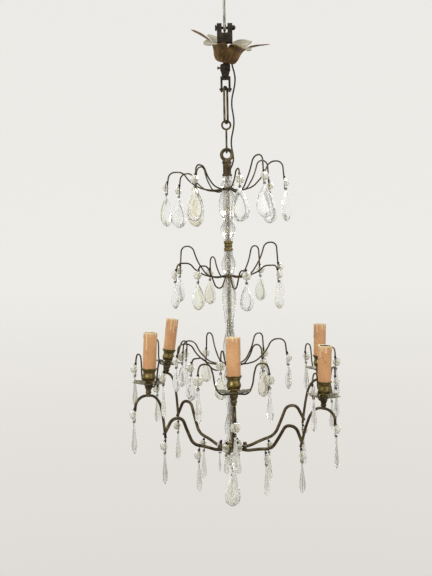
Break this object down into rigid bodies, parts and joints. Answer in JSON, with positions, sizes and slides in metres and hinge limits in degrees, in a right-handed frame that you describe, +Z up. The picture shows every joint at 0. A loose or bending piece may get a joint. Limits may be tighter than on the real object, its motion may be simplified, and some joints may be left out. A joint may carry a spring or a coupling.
{
  "type": "crystal chandelier",
  "caption": "Hanging chandelier with a glass column, tiers of bent wires with cut glass drops, and curved candle arms with card sleeves, on a hook and chain",
  "frame": {"origin": "upper end of the ceiling hook's straight shank, on the chandelier's vertical axis", "axes": "+Z up along the axis, -Y towards the viewer of the picture, +X to their right"},
  "size_m": [0.3951, 0.3532, 0.9604],
  "materials": {
    "aged_brass": "dark aged brass wire, satin",
    "gilt": "worn gilt brass",
    "steel": "dull steel",
    "crystal": "clear cut glass, faintly yellow",
    "card": "candle sleeve with drips, matte",
    "socket": "black moulded lampholder",
    "cable": "black flexible cable"
  },
  "bodies": {
    "ceiling": {"ceiling_hook": "steel"},
    "suspension": {"shackle": "aged_brass", "shackle_bolt": "steel", "stirrup": "aged_brass", "supply_cable_upper": "cable"},
    "canopy": {"canopy": "gilt", "canopy_collar": "gilt"},
    "link": {"long_link": "aged_brass", "supply_cable_middle": "cable"},
    "eye_hook": {"eye_hook": "aged_brass"},
    "chandelier": {"stem_loop": "aged_brass", "supply_cable_lower": "cable", "stem_rod": "steel", "glass_cup": "crystal", "upper_baluster": "crystal", "column_ferrule": "gilt", "middle_baluster": "crystal", "lower_balusters": "crystal", "tier_1_frame": "aged_brass", "tier_2_frame": "aged_brass", "tier_3_frame": "aged_brass", "rosettes": "crystal", "arm_hub": "gilt", "arm_1": "aged_brass", "arm_2": "aged_brass", "arm_3": "aged_brass", "arm_4": "aged_brass", "arm_5": "aged_brass", "side_wires": "aged_brass", "drip_pans": "gilt", "candle_cups": "gilt", "candle_sleeves": "card", "lampholders": "socket", "arm_drops": "crystal", "finial_ball": "crystal"},
    "tier_1_drop_1": {"tier_1_drop_1": "crystal"},
    "tier_1_drop_2": {"tier_1_drop_2": "crystal"},
    "tier_1_drop_3": {"tier_1_drop_3": "crystal"},
    "tier_1_drop_4": {"tier_1_drop_4": "crystal"},
    "tier_1_drop_5": {"tier_1_drop_5": "crystal"},
    "tier_1_drop_6": {"tier_1_drop_6": "crystal"},
    "tier_1_drop_7": {"tier_1_drop_7": "crystal"},
    "tier_1_drop_8": {"tier_1_drop_8": "crystal"},
    "tier_2_drop_1": {"tier_2_drop_1": "crystal"},
    "tier_2_drop_2": {"tier_2_drop_2": "crystal"},
    "tier_2_drop_3": {"tier_2_drop_3": "crystal"},
    "tier_2_drop_4": {"tier_2_drop_4": "crystal"},
    "tier_2_drop_5": {"tier_2_drop_5": "crystal"},
    "tier_2_drop_6": {"tier_2_drop_6": "crystal"},
    "tier_2_drop_7": {"tier_2_drop_7": "crystal"},
    "tier_2_drop_8": {"tier_2_drop_8": "crystal"},
    "tier_3_drop_1": {"tier_3_drop_1": "crystal"},
    "tier_3_drop_2": {"tier_3_drop_2": "crystal"},
    "tier_3_drop_3": {"tier_3_drop_3": "crystal"},
    "tier_3_drop_4": {"tier_3_drop_4": "crystal"},
    "tier_3_drop_5": {"tier_3_drop_5": "crystal"},
    "tier_3_drop_6": {"tier_3_drop_6": "crystal"},
    "tier_3_drop_7": {"tier_3_drop_7": "crystal"},
    "tier_3_drop_8": {"tier_3_drop_8": "crystal"},
    "finial_drop": {"finial_drop": "crystal"}
  },
  "joints": [
    {"name": "hook_swing", "type": "hinge", "parent": "ceiling", "child": "suspension", "pos_m": [0, 0, -0.06], "axis": [1, 0, 0], "range_deg": [-15, 15]},
    {"name": "canopy_slide", "type": "slide", "parent": "suspension", "child": "canopy", "axis": [0, 0, 1], "range_m": [0, 0.025]},
    {"name": "link_swing", "type": "hinge", "parent": "suspension", "child": "link", "pos_m": [0, 0, -0.1758], "axis": [1, 0, 0], "range_deg": [-20, 20], "deforming": ["supply_cable_upper"]},
    {"name": "eye_hook_swing", "type": "hinge", "parent": "link", "child": "eye_hook", "pos_m": [0, 0, -0.2392], "axis": [0.5, 0.866, 0], "range_deg": [-20, 20], "deforming": ["supply_cable_middle"]},
    {"name": "chandelier_swing", "type": "hinge", "parent": "eye_hook", "child": "chandelier", "pos_m": [0, 0, -0.289], "axis": [1, 0, 0], "range_deg": [-20, 20], "deforming": ["supply_cable_lower"]},
    {"name": "tier_1_drop_1_swing", "type": "hinge", "parent": "chandelier", "child": "tier_1_drop_1", "pos_m": [-0.06229, 0.08707, -0.3639], "axis": [-0.3681, 0.9298, 0], "range_deg": [-20, 20]},
    {"name": "tier_1_drop_2_swing", "type": "hinge", "parent": "chandelier", "child": "tier_1_drop_2", "pos_m": [-0.09459, 0.05392, -0.3693], "axis": [-0.5962, 0.8028, 0], "range_deg": [-20, 20]},
    {"name": "tier_1_drop_3_swing", "type": "hinge", "parent": "chandelier", "child": "tier_1_drop_3", "pos_m": [-0.11544, 0.00585, -0.3705], "axis": [-0.7965, 0.6046, 0], "range_deg": [-20, 20]},
    {"name": "tier_1_drop_4_swing", "type": "hinge", "parent": "chandelier", "child": "tier_1_drop_4", "pos_m": [-0.05876, -0.08221, -0.3705], "axis": [-0.3681, -0.9298, 0], "range_deg": [-20, 20]},
    {"name": "tier_1_drop_5_swing", "type": "hinge", "parent": "chandelier", "child": "tier_1_drop_5", "pos_m": [0.01994, -0.09507, -0.3735], "axis": [0.1253, -0.9921, 0], "range_deg": [-20, 20]},
    {"name": "tier_1_drop_6_swing", "type": "hinge", "parent": "chandelier", "child": "tier_1_drop_6", "pos_m": [0.06427, -0.07795, -0.3654], "axis": [0.4067, -0.9135, 0], "range_deg": [-20, 20]},
    {"name": "tier_1_drop_7_swing", "type": "hinge", "parent": "chandelier", "child": "tier_1_drop_7", "pos_m": [0.10944, -0.00564, -0.3654], "axis": [0.7965, -0.6046, 0], "range_deg": [-20, 20]},
    {"name": "tier_1_drop_8_swing", "type": "hinge", "parent": "chandelier", "child": "tier_1_drop_8", "pos_m": [0.08465, 0.05854, -0.3621], "axis": [0.5534, 0.8329, 0], "range_deg": [-20, 20]},
    {"name": "tier_2_drop_1_swing", "type": "hinge", "parent": "chandelier", "child": "tier_2_drop_1", "pos_m": [-0.03654, 0.0833, -0.5322], "axis": [-0.2487, 0.9686, 0], "range_deg": [-20, 20]},
    {"name": "tier_2_drop_2_swing", "type": "hinge", "parent": "chandelier", "child": "tier_2_drop_2", "pos_m": [-0.09534, 0.04794, -0.5262], "axis": [-0.6211, 0.7837, 0], "range_deg": [-20, 20]},
    {"name": "tier_2_drop_3_swing", "type": "hinge", "parent": "chandelier", "child": "tier_2_drop_3", "pos_m": [-0.1, -0.02285, -0.5367], "axis": [-0.729, -0.6845, 0], "range_deg": [-20, 20]},
    {"name": "tier_2_drop_4_swing", "type": "hinge", "parent": "chandelier", "child": "tier_2_drop_4", "pos_m": [-0.0565, -0.06862, -0.5388], "axis": [-0.4067, -0.9135, 0], "range_deg": [-20, 20]},
    {"name": "tier_2_drop_5_swing", "type": "hinge", "parent": "chandelier", "child": "tier_2_drop_5", "pos_m": [0.02899, -0.09044, -0.5418], "axis": [0.1874, -0.9823, 0], "range_deg": [-20, 20]},
    {"name": "tier_2_drop_6_swing", "type": "hinge", "parent": "chandelier", "child": "tier_2_drop_6", "pos_m": [0.08994, -0.04531, -0.5388], "axis": [0.6211, -0.7837, 0], "range_deg": [-20, 20]},
    {"name": "tier_2_drop_7_swing", "type": "hinge", "parent": "chandelier", "child": "tier_2_drop_7", "pos_m": [0.09597, 0.01008, -0.5253], "axis": [0.7771, 0.6293, 0], "range_deg": [-20, 20]},
    {"name": "tier_2_drop_8_swing", "type": "hinge", "parent": "chandelier", "child": "tier_2_drop_8", "pos_m": [0.06405, 0.06999, -0.5262], "axis": [0.4352, 0.9003, 0], "range_deg": [-20, 20]},
    {"name": "tier_3_drop_1_swing", "type": "hinge", "parent": "chandelier", "child": "tier_3_drop_1", "pos_m": [-0.04688, 0.08238, -0.6918], "axis": [-0.309, 0.9511, 0], "range_deg": [-20, 20]},
    {"name": "tier_3_drop_2_swing", "type": "hinge", "parent": "chandelier", "child": "tier_3_drop_2", "pos_m": [-0.09345, 0.04695, -0.6957], "axis": [-0.6211, 0.7837, 0], "range_deg": [-20, 20]},
    {"name": "tier_3_drop_3_swing", "type": "hinge", "parent": "chandelier", "child": "tier_3_drop_3", "pos_m": [-0.10165, -0.01227, -0.6963], "axis": [-0.7705, -0.6374, 0], "range_deg": [-20, 20]},
    {"name": "tier_3_drop_4_swing", "type": "hinge", "parent": "chandelier", "child": "tier_3_drop_4", "pos_m": [-0.07182, -0.0706, -0.7029], "axis": [-0.4633, -0.8862, 0], "range_deg": [-20, 20]},
    {"name": "tier_3_drop_5_swing", "type": "hinge", "parent": "chandelier", "child": "tier_3_drop_5", "pos_m": [-0.01907, -0.09086, -0.6987], "axis": [-0.1253, -0.9921, 0], "range_deg": [-20, 20]},
    {"name": "tier_3_drop_6_swing", "type": "hinge", "parent": "chandelier", "child": "tier_3_drop_6", "pos_m": [0.05579, -0.08392, -0.6957], "axis": [0.3486, -0.9373, 0], "range_deg": [-20, 20]},
    {"name": "tier_3_drop_7_swing", "type": "hinge", "parent": "chandelier", "child": "tier_3_drop_7", "pos_m": [0.10798, -0.00916, -0.6942], "axis": [0.7837, -0.6211, 0], "range_deg": [-20, 20]},
    {"name": "tier_3_drop_8_swing", "type": "hinge", "parent": "chandelier", "child": "tier_3_drop_8", "pos_m": [0.06863, 0.06526, -0.6921], "axis": [0.4726, 0.8813, 0], "range_deg": [-20, 20]},
    {"name": "finial_drop_swing", "type": "hinge", "parent": "chandelier", "child": "finial_drop", "pos_m": [0, 0, -0.901], "axis": [0, -1, 0], "range_deg": [-20, 20]}
  ]
}
